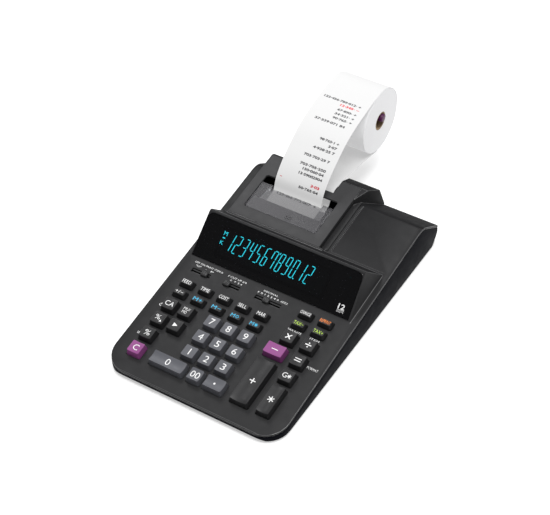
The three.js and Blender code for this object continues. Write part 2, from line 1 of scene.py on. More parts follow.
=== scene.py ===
"""Looks of the desk printing calculator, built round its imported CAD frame. Metres, +Z up."""
import json
import math

import bmesh
import bpy
from mathutils import Matrix, Vector

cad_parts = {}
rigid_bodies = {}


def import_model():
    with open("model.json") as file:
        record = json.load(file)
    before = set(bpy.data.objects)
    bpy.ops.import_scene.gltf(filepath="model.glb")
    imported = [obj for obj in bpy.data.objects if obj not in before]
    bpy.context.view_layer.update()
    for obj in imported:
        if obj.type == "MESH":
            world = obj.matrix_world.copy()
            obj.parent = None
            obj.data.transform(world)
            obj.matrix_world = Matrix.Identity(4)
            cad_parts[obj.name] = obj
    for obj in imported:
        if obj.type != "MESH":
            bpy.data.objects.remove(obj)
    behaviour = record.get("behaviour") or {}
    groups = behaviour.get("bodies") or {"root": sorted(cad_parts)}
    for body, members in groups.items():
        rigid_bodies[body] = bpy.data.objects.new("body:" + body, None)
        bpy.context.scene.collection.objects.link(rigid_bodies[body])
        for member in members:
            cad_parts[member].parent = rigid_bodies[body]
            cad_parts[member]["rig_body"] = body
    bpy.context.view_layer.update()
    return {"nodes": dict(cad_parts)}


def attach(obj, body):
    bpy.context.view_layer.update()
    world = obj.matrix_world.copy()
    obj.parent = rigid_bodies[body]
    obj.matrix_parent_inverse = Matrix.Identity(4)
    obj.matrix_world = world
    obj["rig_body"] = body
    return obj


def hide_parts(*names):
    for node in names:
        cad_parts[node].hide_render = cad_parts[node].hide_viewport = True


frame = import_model()
nodes = frame["nodes"]

# ---------------------------------------------------------------- driving dimensions, mm
MM = 0.001
BODY = "case"
DEPTH = 313.0
FRONT = -DEPTH / 2
FOOT_H = 2.0
SHIFT_Y = 48.75
SLOPE = math.radians(7.36)
DECK_FRONT_H = 8.5
ROLL_Y, ROLL_Z, ROLL_R = 217.5, 69.1, 35.8
PAPER_X0, PAPER_X1 = -61.0, -5.0
CORE_R, CORE_BORE = 10.2, 8.6
HUMP_H = 6.0
GLASS_Y, GLASS_TILT = -10.4, math.radians(40)
PLATEN_Y, PLATEN_Z, PLATEN_R = 80.0, 31.5, 7.0

# Frames in mm that lead to the row frame in metres.
ROW = Matrix.Scale(MM, 4) @ Matrix.Translation((0, -SHIFT_Y, FOOT_H))
DECK = ROW @ Matrix.Translation((0, FRONT, DECK_FRONT_H)) @ Matrix.Rotation(SLOPE, 4, "X")


def deck_z(y):
    return DECK_FRONT_H + (y - FRONT) * math.tan(SLOPE)


GLASS = ROW @ Matrix.Translation((0, GLASS_Y, deck_z(GLASS_Y))) @ Matrix.Rotation(GLASS_TILT, 4, "X")
COVER = ROW @ Matrix.Translation((0, 0, deck_z(0) + HUMP_H)) @ Matrix.Rotation(SLOPE, 4, "X")


# ---------------------------------------------------------------- materials
def srgb(r, g, b):
    """8-bit screen colour as linear RGBA."""
    return tuple((c / 255 / 12.92) if c < 10.3 else ((c / 255 + 0.055) / 1.055) ** 2.4
                 for c in (r, g, b)) + (1.0,)


class Shade:
    """A node material with one Principled shader and helpers for its detail."""

    def __init__(self, name, color, rough=0.5, metal=0.0, specular=0.5, alpha=1.0, coat=0.0):
        self.mat = bpy.data.materials.new(name)
        self.mat.use_nodes = True
        self.tree = self.mat.node_tree
        self.bsdf = self.tree.nodes["Principled BSDF"]
        self.color = color
        self.rough = rough
        self.put("Base Color", color)
        self.put("Roughness", rough)
        self.put("Metallic", metal)
        self.put("Specular IOR Level", specular)
        self.put("Alpha", alpha)
        self.put("Coat Weight", coat)
        self.coords = self.tree.nodes.new("ShaderNodeTexCoord")
        self.height = None

    def put(self, socket, value):
        self.bsdf.inputs[socket].default_value = value

    def link(self, a, b):
        self.tree.links.new(a, b)

    def noise(self, scale, detail=3.0, stretch=None):
        n = self.tree.nodes.new("ShaderNodeTexNoise")
        n.inputs["Scale"].default_value = scale
        n.inputs["Detail"].default_value = detail
        source = self.coords.outputs["Object"]
        if stretch:
            m = self.tree.nodes.new("ShaderNodeMapping")
            m.inputs["Scale"].default_value = stretch
            self.link(source, m.inputs["Vector"])
            source = m.outputs["Vector"]
        self.link(source, n.inputs["Vector"])
        return n.outputs["Fac"]

    def map(self, value, low, high, from_low=0.3, from_high=0.7):
        m = self.tree.nodes.new("ShaderNodeMapRange")
        m.inputs["From Min"].default_value = from_low
        m.inputs["From Max"].default_value = from_high
        m.inputs["To Min"].default_value = low
        m.inputs["To Max"].default_value = high
        self.link(value, m.inputs["Value"])
        return m.outputs["Result"]

    def vary(self, amount=0.08, scale=60.0, detail=3.0, stretch=None, value=None):
        """Base colour that drifts a little lighter and darker."""
        ramp = self.tree.nodes.new("ShaderNodeValToRGB")
        dark = [c * (1 - amount) for c in self.color[:3]] + [1.0]
        light = [min(c * (1 + amount), 1.0) for c in self.color[:3]] + [1.0]
        ramp.color_ramp.elements[0].position = 0.3
        ramp.color_ramp.elements[0].color = dark
        ramp.color_ramp.elements[1].position = 0.7
        ramp.color_ramp.elements[1].color = light
        self.link(value or self.noise(scale, detail, stretch), ramp.inputs["Fac"])
        self.link(ramp.outputs["Color"], self.bsdf.inputs["Base Color"])
        return self

    def vary_rough(self, amount=0.06, scale=90.0, detail=4.0, stretch=None):
        self.link(self.map(self.noise(scale, detail, stretch), self.rough - amount,
                           self.rough + amount), self.bsdf.inputs["Roughness"])
        return self

    def bump(self, value, strength, distance):
        b = self.tree.nodes.new("ShaderNodeBump")
        b.inputs["Strength"].default_value = strength
        b.inputs["Distance"].default_value = distance
        self.link(value, b.inputs["Height"])
        if self.height:
            self.link(self.height, b.inputs["Normal"])
        self.height = b.outputs["Normal"]
        self.link(self.height, self.bsdf.inputs["Normal"])
        return self

    def grain(self, scale=2200.0, strength=0.25, distance=0.00006, detail=2.0, stretch=None):
        return self.bump(self.noise(scale, detail, stretch), strength, distance)

    def radial(self, centre):
        """Distance from an X axis through centre (y, z in metres)."""
        sub = self.tree.nodes.new("ShaderNodeVectorMath")
        sub.operation = "SUBTRACT"
        sub.inputs[1].default_value = (0, centre[0], centre[1])
        self.link(self.coords.outputs["Object"], sub.inputs[0])
        flat = self.tree.nodes.new("ShaderNodeVectorMath")
        flat.operation = "MULTIPLY"
        flat.inputs[1].default_value = (0, 1, 1)
        self.link(sub.outputs["Vector"], flat.inputs[0])
        length = self.tree.nodes.new("ShaderNodeVectorMath")
        length.operation = "LENGTH"
        self.link(flat.outputs["Vector"], length.inputs[0])
        return length.outputs["Value"]

    def wave(self, value, per_metre):
        """Sine of a distance: per_metre rings in each metre."""
        mul = self.tree.nodes.new("ShaderNodeMath")
        mul.operation = "MULTIPLY"
        mul.inputs[1].default_value = per_metre * math.tau
        self.link(value, mul.inputs[0])
        sine = self.tree.nodes.new("ShaderNodeMath")
        sine.operation = "SINE"
        self.link(mul.outputs["Value"], sine.inputs[0])
        return sine.outputs["Value"]


def moulded(name, color, rough=0.5, grain=0.25, specular=0.4):
    """Injection-moulded plastic: fine spark texture, slight mottling of colour and gloss."""
    s = Shade(name, color, rough, specular=specular)
    s.vary(0.07, 45.0).vary_rough(0.05, 120.0)
    return s.grain(2600.0, grain).mat


def printed(name, color):
    """Pad-printed ink on plastic."""
    s = Shade(name, color, 0.45, specular=0.3)
    return s.vary(0.05, 900.0).grain(5000.0, 0.1, 0.00002).mat


def glowing(name, color, strength):
    s = Shade(name, (0.02, 0.1, 0.1, 1.0), 0.4)
    s.put("Emission Color", color)
    s.put("Emission Strength", strength)
    s.vary(0.1, 700.0).grain(4000.0, 0.05, 0.00002)
    return s.mat


def metal_mat(name, color, rough=0.35, brushed=(30.0, 1.0, 1.0)):
    s = Shade(name, color, rough, metal=1.0)
    s.vary(0.08, 90.0, stretch=brushed).vary_rough(0.08, 140.0, stretch=brushed)
    return s.grain(1500.0, 0.15, 0.00003, stretch=brushed).mat


PAPER_PAINTED_GLOW = 0.3  # painted light: the paper and the roll glow so that their shaded parts stay bright


def paper_mat():
    s = Shade("paper", (0.37, 0.37, 0.37, 1.0), 0.85, specular=0.1)
    # self-glow that lifts the shaded parts of the tape: painted light
    s.put("Emission Color", (1.0, 1.0, 1.0, 1.0))
    s.put("Emission Strength", PAPER_PAINTED_GLOW)
    s.vary(0.015, 900.0, 5.0)
    return s.grain(3200.0, 0.2, 0.00003, 5.0).mat


def roll_mat():
    s = Shade("paper_roll", (0.53, 0.53, 0.54, 1.0), 0.85, specular=0.1)
    # self-glow that lifts the shaded parts of the roll: painted light
    s.put("Emission Color", (1.0, 1.0, 1.0, 1.0))
    s.put("Emission Strength", PAPER_PAINTED_GLOW)
    centre = ((ROLL_Y - SHIFT_Y) * MM, (ROLL_Z + FOOT_H) * MM)
    rings = s.radial(centre)
    s.vary(0.03, value=s.map(s.wave(rings, 900.0), 0.3, 0.7, -1, 1))
    s.bump(s.wave(rings, 900.0), 0.25, 0.00005)
    return s.grain(2500.0, 0.15, 0.00003).mat


def cardboard_mat():
    s = Shade("cardboard", srgb(150, 130, 104), 0.85, specular=0.15)
    s.vary(0.14, 260.0, 6.0, stretch=(1, 1, 3))
    return s.grain(1400.0, 0.5, 0.0001, 5.0).mat


def smoky(name, color, alpha, rough, specular=0.5):
    s = Shade(name, color, rough, specular=specular, alpha=alpha)
    s.vary(0.03, 30.0).vary_rough(0.02, 60.0)
    return s.grain(700.0, 0.04, 0.00003).mat


M = {
    "deck": moulded("deck_plastic", srgb(34, 34, 35), 0.5, 0.25, 0.12),
    # Darker, less reflective copy of the deck plastic for the rear-facing slopes: painted shade.
    "deck_rear_shaded": moulded("deck_rear_shaded", srgb(30, 30, 31), 0.55, 0.25, 0.02),
    # Bevelled edges: partly a glossier finish, partly a painted highlight in their lighter colour.
    "deck_edge_highlight": moulded("deck_edge_highlight", srgb(74, 74, 75), 0.32, 0.1, 0.5),
    "side": moulded("side_plastic", srgb(11, 12, 17), 0.42, 0.12, 0.01),
    "cover": moulded("cover_plastic", srgb(54, 54, 55), 0.5, 0.25, 0.12),
    "lens": smoky("lens", (0.0015, 0.0015, 0.002, 1), 0.62, 0.06, 0.35),
    "window": smoky("smoky_window", srgb(50, 49, 54), 0.42, 0.22, 0.2),
    "key_grey": moulded("key_grey", srgb(80, 81, 86), 0.4, 0.12, 0.17),
    "key_dark": moulded("key_dark", srgb(37, 37, 38), 0.4, 0.12, 0.13),
    "key_small": moulded("key_small", srgb(33, 33, 34), 0.4, 0.12, 0.16),
    "key_purple": moulded("key_purple", srgb(124, 64, 116), 0.42, 0.12, 0.15),
    "guide": moulded("guide_plastic", srgb(150, 150, 152), 0.5, 0.1, 0.2),
    "shield": moulded("shield_plastic", srgb(70, 70, 72), 0.5, 0.1, 0.2),
    # light grey for the line at the display cheek's foot: a painted highlight
    "line": moulded("cheek_highlight_paint", srgb(96, 96, 96), 0.4, 0.1, 0.4),
    "bed": moulded("slot_bed", srgb(42, 42, 43), 0.5, 0.15, 0.2),
    "knob": moulded("knob_plastic", srgb(42, 42, 43), 0.45, 0.15, 0.3),
    "spindle": moulded("purple_plastic", srgb(78, 28, 70), 0.4, 0.12, 0.2),
    "rubber": moulded("black_rubber", srgb(26, 26, 26), 0.8, 0.5),
    "white": printed("ink_white", srgb(212, 212, 212)),
    "blue": printed("ink_blue", srgb(40, 165, 205)),
    "green": printed("ink_green", srgb(165, 200, 60)),
    "orange": printed("ink_orange", srgb(225, 120, 30)),
    "tape_black": printed("ribbon_black", srgb(60, 60, 62)),
    "tape_red": printed("ribbon_red", srgb(190, 50, 60)),
    "glow": glowing("display_glow", srgb(50, 215, 235), 7.5),
    "paper": paper_mat(),
    "roll": roll_mat(),
    "cardboard": cardboard_mat(),
    "steel": metal_mat("mechanism_metal", (0.45, 0.46, 0.48, 1)),
    "motor": metal_mat("motor_metal", (0.5, 0.5, 0.52, 1), 0.3, (1.0, 1.0, 12.0)),
    "lamination": metal_mat("transformer_steel", (0.12, 0.12, 0.13, 1), 0.5, (1.0, 1.0, 60.0)),
    "ink_roll": moulded("ink_sponge", srgb(50, 32, 72), 0.9, 0.6),
    "mat": moulded("mat_rubber", srgb(14, 14, 15), 0.7, 0.3, 0.1),
    "board": moulded("board", srgb(30, 88, 55), 0.35, 0.2),
    "tube": smoky("tube_glass", (0.01, 0.02, 0.022, 1), 1.0, 0.08),
}


# ---------------------------------------------------------------- mesh helpers
def shaded(mesh, angle=32.0):
    for p in mesh.polygons:
        p.use_smooth = True
    mesh.set_sharp_from_angle(angle=math.radians(angle))


def place(name, mesh, mats, body, replaces=()):
    obj = bpy.data.objects.new(name, mesh)
    bpy.context.scene.collection.objects.link(obj)
    for m in mats if isinstance(mats, (list, tuple)) else [mats]:
        mesh.materials.append(m)
    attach(obj, body)
    if replaces:
        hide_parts(*replaces)
    return obj


def mesh_from(name, verts, faces, matrix=None, angle=32.0):
    mesh = bpy.data.meshes.new(name)
    mesh.from_pydata([tuple((matrix @ Vector(v)) if matrix else v) for v in verts], [], faces)
    bm = bmesh.new()
    bm.from_mesh(mesh)
    bmesh.ops.recalc_face_normals(bm, faces=bm.faces)
    bm.to_mesh(mesh)
    bm.free()
    shaded(mesh, angle)
    return mesh


class Solid:
    """Collects lofts in one vertex and face list."""

    def __init__(self):
        self.verts = []
        self.faces = []

    def loft(self, rings, caps=(True, True), closed=False):
        """Skin over rings of equal count, with flat caps or closed on itself."""
        base = len(self.verts)
        n = len(rings[0])
        for ring in rings:
            self.verts.extend(ring)
        pairs = len(rings) if closed else len(rings) - 1
        for i in range(pairs):
            a = base + i * n
            b = base + ((i + 1) % len(rings)) * n
            for j in range(n):
                k = (j + 1) % n
                self.faces.append((a + j, a + k, b + k, b + j))
        if not closed and caps[0]:
            self.faces.append(tuple(range(base + n - 1, base - 1, -1)))
        if not closed and caps[1]:
            top = base + (len(rings) - 1) * n
            self.faces.append(tuple(range(top, top + n)))
        return self

    def revolve(self, profile, y, z, steps=64):
        """Ring solid round an X axis; profile is a closed list of (x, radius)."""
        rings = []
        for i in range(steps):
            a = math.tau * i / steps
            rings.append([(x, y + r * math.cos(a), z + r * math.sin(a)) for x, r in profile])
        return self.loft(rings, closed=True)

    def mesh(self, name, matrix=None, angle=32.0):
        return mesh_from(name, self.verts, self.faces, matrix, angle)


def rounded_ring(w, d, r, arc=4, edge=6):
    """Points of a rounded rectangle about the origin, with its straight edges divided."""
    r = min(r, w / 2 - 0.01, d / 2 - 0.01)
    points = []
    corners = [(w / 2 - r, d / 2 - r, 0), (-w / 2 + r, d / 2 - r, 90),
               (-w / 2 + r, -d / 2 + r, 180), (w / 2 - r, -d / 2 + r, 270)]
    for i, (cx, cy, a0) in enumerate(corners):
        for j in range(arc + 1):
            a = math.radians(a0 + 90 * j / arc)
            points.append(Vector((cx + r * math.cos(a), cy + r * math.sin(a))))
        a = math.radians(a0 + 90)
        here = Vector((cx + r * math.cos(a), cy + r * math.sin(a)))
        nx, ny, _ = corners[(i + 1) % 4]
        there = Vector((nx + r * math.cos(a), ny + r * math.sin(a)))
        points.extend(here.lerp(there, j / edge) for j in range(1, edge))
    return points


def circle(r, steps=32):
    return [Vector((r * math.cos(math.tau * i / steps), r * math.sin(math.tau * i / steps)))
            for i in range(steps)]


def softened(node, width, mats, angle=28.0, segments=2, keep=None, dissolve=1.2,
             highlight_slot=-1):
    """The CAD solid with its sharp edges rounded off, in place of that node."""
    mesh = nodes[node].data.copy()
    mesh.name = node + "_soft"
    mesh.materials.clear()
    bm = bmesh.new()
    bm.from_mesh(mesh)
    bmesh.ops.remove_doubles(bm, verts=bm.verts, dist=4e-6)
    bmesh.ops.dissolve_limit(bm, angle_limit=math.radians(dissolve), verts=bm.verts,
                             edges=bm.edges, use_dissolve_boundaries=False)
    bmesh.ops.recalc_face_normals(bm, faces=bm.faces)
    sharp = [e for e in bm.edges if len(e.link_faces) == 2
             and e.calc_face_angle(0) > math.radians(angle)
             and (keep is None or keep(e))]
    if width:
        # bevel faces take the given material slot, which carries the painted edge highlight
        bmesh.ops.bevel(bm, geom=sharp, offset=width * MM, segments=segments, profile=0.6,
                        affect="EDGES", clamp_overlap=False, loop_slide=True, miter_outer="ARC",
                        material=min(1, highlight_slot))
    bm.to_mesh(mesh)
    bm.free()
    shaded(mesh, 34.0)
    body = nodes[node]["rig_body"]
    return place(node + "_soft", mesh, mats, body, [node])


def text_points(text, bold=0.0):
    """Flat lettering as vertices and faces, closed, centred, 1 unit high capitals."""
    curve = bpy.data.curves.new("text", "FONT")
    curve.body = text
    curve.align_x = "CENTER"
    curve.resolution_u = 3
    curve.offset = bold
    curve.extrude = 0.5
    obj = bpy.data.objects.new("text", curve)
    bpy.context.scene.collection.objects.link(obj)
    graph = bpy.context.evaluated_depsgraph_get()
    mesh = bpy.data.meshes.new_from_object(obj.evaluated_get(graph))
    bpy.data.objects.remove(obj)
    bpy.data.curves.remove(curve)
    bm = bmesh.new()
    bm.from_mesh(mesh)
    bmesh.ops.remove_doubles(bm, verts=bm.verts, dist=1e-5)
    bmesh.ops.triangulate(bm, faces=bm.faces)
    verts = [v.co.copy() for v in bm.verts]
    faces = [tuple(v.index for v in f.verts) for f in bm.faces]
    bm.free()
    bpy.data.meshes.remove(mesh)
    return verts, faces


INK = 0.05  # thickness of print, mm


class Print:
    """Several pieces of lettering gathered in one mesh."""

    def __init__(self, matrix):
        self.matrix = matrix
        self.verts = []
        self.faces = []

    def write(self, text, x, y, height, width=None, bold=-0.004, surface=None, lean=0.0):
        """Lettering centred on (x, y); width squeezes or stretches it."""
        verts, faces = text_points(text, bold)
        x0, x1 = min(v.x for v in verts), max(v.x for v in verts)
        y0, y1 = min(v.y for v in verts), max(v.y for v in verts)
        sy = height / (y1 - y0) if height else width / (x1 - x0)
        sx = width / (x1 - x0) if width else sy
        self._add([(x + (v.x - (x0 + x1) / 2) * sx + lean * (v.y - (y0 + y1) / 2) * sy,
                    y + (v.y - (y0 + y1) / 2) * sy, v.z) for v in verts], faces, surface)
        return self

    def shape(self, polygon, surface=None):
        """A flat closed symbol from a convex outline."""
        n = len(polygon)
        verts = [(px, py, -0.5) for px, py in polygon] + [(px, py, 0.5) for px, py in polygon]
        faces = [tuple(range(n - 1, -1, -1)), tuple(range(n, 2 * n))]
        faces += [(i, (i + 1) % n, n + (i + 1) % n, n + i) for i in range(n)]
        self._add(verts, faces, surface)
        return self

    def bar(self, x0, x1, y0, y1, surface=None):
        return self.shape([(x0, y0), (x1, y0), (x1, y1), (x0, y1)], surface)

    def dot(self, x, y, r, surface=None):
        return self.shape([(x + p.x, y + p.y) for p in circle(r, 16)], surface)

    def _add(self, verts, faces, surface):
        base = len(self.verts)
        for vx, vy, vz in verts:
            level = surface(vx, vy) if surface else 0.0
            self.verts.append((vx, vy, level + INK * (vz + 0.2)))
        self.faces.extend(tuple(base + i for i in f) for f in faces)

    def place(self, name, mat, body, slot):
        mesh = mesh_from(name, self.verts, self.faces, self.matrix, 20.0)
        return place(name, mesh, mat, body)


# ---------------------------------------------------------------- cases
DECK_INVERSE = DECK.inverted()
GLASS_INVERSE = GLASS.inverted()
KEY_FIELD_X, KEY_FIELD_S, KEY_FIELD_Z = 88, (12, 146), (-8, 0.5)
LENS_ZONE_X, LENS_ZONE_S, LENS_ZONE_Z = 94, (-1, 50), (-16, 0.3)
RIB_ZONE_X, RIB_ZONE_S = (24.9, 27.4), (210, 283)
# Near the tray's right edge the bevels keep the plain deck plastic, without the painted edge highlight.
TRAY_EDGE_X, TRAY_EDGE_S = (85, 95.5), 205
REAR_FACING = 0.25  # how far back a face leans before it takes the darker, duller rear material: painted shade on the rear slopes
SOLE_Z = 1.2  # height of the feet that is rubber


def off_keyboard(edge):
    """False for the edges of the key holes, the switch slots and the opening behind the lens."""
    middle = (edge.verts[0].co + edge.verts[1].co) / 2
    p = DECK_INVERSE @ middle
    g = GLASS_INVERSE @ middle
    in_keys = (abs(p.x) < KEY_FIELD_X and KEY_FIELD_S[0] < p.y < KEY_FIELD_S[1]
               and KEY_FIELD_Z[0] < p.z < KEY_FIELD_Z[1])
    round_lens = (abs(g.x) < LENS_ZONE_X and LENS_ZONE_S[0] < g.y < LENS_ZONE_S[1]
                  and LENS_ZONE_Z[0] < g.z < LENS_ZONE_Z[1])
    beside_rib = RIB_ZONE_X[0] < p.x < RIB_ZONE_X[1] and RIB_ZONE_S[0] < p.y < RIB_ZONE_S[1]
    return not in_keys and not round_lens and not beside_rib


upper = softened("upper_case", 0.3, [M["deck"], M["deck_edge_highlight"], M["deck_rear_shaded"]],
                 keep=off_keyboard, highlight_slot=1)
for face in upper.data.polygons:
    at = DECK_INVERSE @ face.center
    # rear-leaning faces take the darker copy of the deck plastic: painted shade
    if face.material_index == 0 and face.normal.y > REAR_FACING and face.normal.z > 0:
        face.material_index = 2
    # bevels near the tray's right edge lose the painted edge highlight
    elif (face.material_index == 1 and at.y > TRAY_EDGE_S
          and TRAY_EDGE_X[0] < at.x < TRAY_EDGE_X[1]):
        face.material_index = 0
lower = softened("lower_case", 0.5, [M["side"], M["rubber"]])
for face in lower.data.polygons:
    if face.center.z < SOLE_Z * MM and abs(face.normal.z) > 0.5:
        face.material_index = 1
softened("printer_cover", 0.45, M["cover"])
softened("display_lens", 0.35, M["lens"])
softened("paper_arm", 0.8, M["side"])

# Light line at the foot of the display's right cheek: a painted highlight where the cheek meets the deck.
CHEEK_X = (90.6, 91.05)
CHEEK_S = (146.0, 209.0)
CHEEK_Z = (-0.1, 0.12)
line = Solid()
line.loft([[(CHEEK_X[0], s, CHEEK_Z[0]), (CHEEK_X[1], s, CHEEK_Z[0]),
            (CHEEK_X[1], s, CHEEK_Z[1]), (CHEEK_X[0], s, CHEEK_Z[1])] for s in CHEEK_S])
place("cheek_highlight_line", line.mesh("cheek_highlight_line", DECK), M["line"], BODY)

# ---------------------------------------------------------------- keys
ROW0, ROW_PITCH, COL_PITCH = 25.9, 19.4, 19.0
TAPER = 2.2
SMALL = dict(w=15.4, d=9.4, tw=12.4, td=6.0, h=5.0, dish=-0.25)


def tall(w, d, dish=0.6):
    return dict(w=w, d=d, tw=w - TAPER, td=d - TAPER, h=6.9, dish=dish)


STANDARD = tall(15.2, 14.8)


def row_s(i):
    return ROW0 + i * ROW_PITCH


def col_x(i):
    return -24.9 + i * COL_PITCH


KEYS = {}


def add_key(name, x, s, kind, color, **size):
    KEYS[name] = dict(kind, x=x, s=s, color=color, **size)


for j, digits in enumerate(("123", "456", "789")):
    for i, digit in enumerate(digits):
        add_key("key_" + digit, col_x(i), row_s(j + 1), STANDARD, "key_grey")
add_key("key_0", -36.9, row_s(0), tall(38.6, 14.8, 1.2), "key_grey", along="x")
add_key("key_00", col_x(1), row_s(0), tall(15.2, 14.8, 1.2), "key_grey", along="x")
add_key("key_point", 15.6, row_s(0), tall(22, 14.8, 1.2), "key_grey", along="x")
LEFT_X = (-73.6, -54.6)
add_key("key_clear", LEFT_X[0], row_s(0), STANDARD, "key_purple")
add_key("key_percent", LEFT_X[0], row_s(1), STANDARD, "key_dark")
add_key("key_delta_percent", LEFT_X[0], row_s(2), STANDARD, "key_dark")
add_key("key_shift_back", LEFT_X[1], row_s(2), STANDARD, "key_dark")
add_key("key_clear_all", LEFT_X[0], row_s(3) - 0.4, STANDARD, "key_dark")
add_key("key_markup", LEFT_X[1], row_s(3) - 0.4, STANDARD, "key_dark")
SMALL_NAMES = [("key_sign", "key_feed"), ("key_memory_plus", "key_time"),
               ("key_memory_minus", "key_cost"), ("key_memory_subtotal", "key_sell"),
               ("key_memory_total", "key_margin")]
for i, pair in enumerate(SMALL_NAMES):
    for name, s in zip(pair, (100.8, 114.2)):
        add_key(name, -74 + i * 21.5, s, SMALL, "key_small")
RIGHT_X = (49.5, 71.1)
for x, pair in zip(RIGHT_X, (("key_tax_minus", "key_change"), ("key_tax_plus", "key_reprint"))):
    for name, s in zip(pair, (121.0, 134.4)):
        add_key(name, x, s, SMALL, "key_small")
add_key("key_multiply", RIGHT_X[0], row_s(4) - 0.4, STANDARD, "key_dark")
add_key("key_divide", RIGHT_X[1], row_s(4) - 0.4, STANDARD, "key_dark")
add_key("key_minus", 45.6, row_s(3) + 0.4, tall(21.6, 14.8), "key_purple")
add_key("key_equals", RIGHT_X[1], row_s(3), STANDARD, "key_dark")
add_key("key_grand_total", RIGHT_X[1], row_s(2) - 0.4, STANDARD, "key_dark")
add_key("key_plus", 45.4, row_s(1), tall(20.6, 2 * ROW_PITCH + 14.8, 1.5), "key_dark")
add_key("key_total", 71.3, row_s(0.5), tall(15, ROW_PITCH + 14.8, 1.3), "key_dark")


def key_surface(k):
    """Height of the key's top over the deck at a point of the deck frame."""
    def height(x, s):
        u = (x - k["x"]) / (k["tw"] / 2)
        v = (s - k["s"]) / (k["td"] / 2)
        t = v if k.get("along") == "x" else u
        return k["h"] - k["dish"] * (1 - min(t * t, 1.0))
    return height


def build_key(name, k):
    top = key_surface(k)

    edge = 10 if max(k["w"], k["d"]) > 20 else 6

    def ring(w, d, r, z=None, drop=0.0):
        points = []
        for p in rounded_ring(w, d, r, 4, edge):
            x, s = k["x"] + p.x, k["s"] + p.y
            points.append((x, s, z if z is not None else top(x, s) - drop))
        return points

    w, d, tw, td = k["w"], k["d"], k["tw"], k["td"]
    small = k["h"] < 6
    rt = 1.6 if small else 1.1
    rb = 2.0 if small else 1.4
    rings = [ring(w - 0.6, d - 0.6, rb - 0.2, -2.9), ring(w - 0.1, d - 0.1, rb, -2.6),
             ring(w, d, rb, 0.3), ring(w - 0.12, d - 0.12, rb, 0.7)]
    mid = 0.5
    rings.append(ring(w + (tw - w) * mid, d + (td - d) * mid, (rb + rt) / 2,
                      0.7 + (k["h"] - 1.4) * mid))
    rings += [ring(tw + 0.16, td + 0.16, rt + 0.1, drop=0.55),
              ring(tw + 0.04, td + 0.04, rt, drop=0.22),
              ring(tw - 0.16, td - 0.16, rt - 0.1, drop=0.05),
              ring(tw - 0.5, td - 0.5, rt - 0.2, drop=0.0)]
    for f in (0.8, 0.6, 0.4, 0.2, 0.08, 0.02):
        rings.append(ring((tw - 0.5) * f, (td - 0.5) * f, rt * f))
    mesh = Solid().loft(rings).mesh(name + "_cap", DECK, 40.0)
    place(name + "_cap", mesh, M[k["color"]], name, [name])


for name, k in KEYS.items():
    build_key(name, k)

# ---------------------------------------------------------------- legends
CAP = 7.0        # height of the large legends
LEGENDS = {f"key_{n}": (str(n), CAP, None if n == 1 else CAP * 0.66, "white")
           for n in range(10)}
LEGENDS.update({
    "key_00": ("00", CAP, 9.4, "white"),
    "key_clear": ("C", 6.4, None, "white"),
    "key_percent": ("%", 6.0, 6.4, "white"),
    "key_clear_all": ("CA", 5.6, 9.4, "white"),
    "key_multiply": ("×", 5.8, 5.8, "white"),
    "key_divide": ("÷", 6.0, 6.4, "white"),
    "key_minus": ("−", 0.85, 6.8, "white"),
    "key_equals": ("=", 3.4, 6.9, "white"),
    "key_grand_total": ("G", 5.4, 4.6, "white"),
    "key_plus": ("+", 6.2, 6.2, "white"),
    "key_feed": ("FEED", 3.9, 9.6, "white"),
    "key_time": ("TIME", 3.9, 9.6, "white"),
    "key_cost": ("COST", 3.9, 10.2, "white"),
    "key_sell": ("SELL", 3.9, 9.0, "white"),
    "key_margin": ("MAR", 3.9, 9.0, "white"),
    "key_change": ("CHANGE", 3.5, 11.0, "white"),
    "key_reprint": ("REPRINT", 3.5, 11.2, "orange"),
    "key_tax_minus": ("TAX−", 3.7, 10.4, "green"),
    "key_tax_plus": ("TAX+", 3.7, 10.4, "green"),
    "key_sign": ("+/−", 3.8, 9.0, "white"),
    "key_memory_plus": ("M+", 4.0, 9.8, "blue"),
    "key_memory_minus": ("M−", 4.0, 9.8, "blue"),
})
BOLD = -0.004


def legend(name):
    k = KEYS[name]
    x, s = k["x"], k["s"]
    top = key_surface(k)
    ink = Print(DECK)
    color = "white"
    if name in LEGENDS:
        text, height, width, color = LEGENDS[name]
        shift = -2.1 if name == "key_grand_total" else 0.0
        ink.write(text, x + shift, s, height, width, BOLD, top)
    if name == "key_grand_total":
        star(ink, x + 2.6, s, 2.1, 0.36, top)
    elif name == "key_total":
        star(ink, x, s, 3.4, 0.42, top)
    elif name == "key_point":
        ink.dot(x, s, 1.05, top)
    elif name == "key_delta_percent":
        ink.write("%", x - 1.2, s + 0.6, 5.4, 5.6, BOLD, top)
        ink.shape([(x + 1.9, s - 3.6), (x + 4.7, s - 3.6), (x + 3.3, s - 1.0)], top)
    elif name == "key_markup":
        ink.write("MU/", x, s + 2.0, 3.1, 7.2, BOLD, top)
        ink.write("MD", x - 0.8, s - 2.0, 3.1, 5.2, BOLD, top)
    elif name == "key_shift_back":
        ink.shape([(x - 2.2, s - 2.3), (x + 2.6, s), (x - 2.2, s + 2.3)], top)
    elif name == "key_memory_subtotal":
        color = "blue"
        ink.write("M", x - 2.3, s, 3.9, 4.2, BOLD, top)
        diamond(ink, x + 2.4, s, 1.9, top)
    elif name == "key_memory_total":
        color = "blue"
        ink.write("M", x - 2.3, s, 3.9, 4.2, BOLD, top)
        star(ink, x + 2.4, s, 1.8, 0.34, top)
    ink.place(name + "_legend", M[color], name, k["color"])


def star(ink, x, s, r, half, top):
    """Six-armed asterisk from three crossing strokes."""
    for i in range(3):
        a = math.radians(90 + 60 * i)
        along = Vector((math.cos(a), math.sin(a))) * r
        side = Vector((-math.sin(a), math.cos(a))) * half
        ink.shape([(x + p.x, s + p.y) for p in
                   (along + side, side - along, -along - side, along - side)], top)


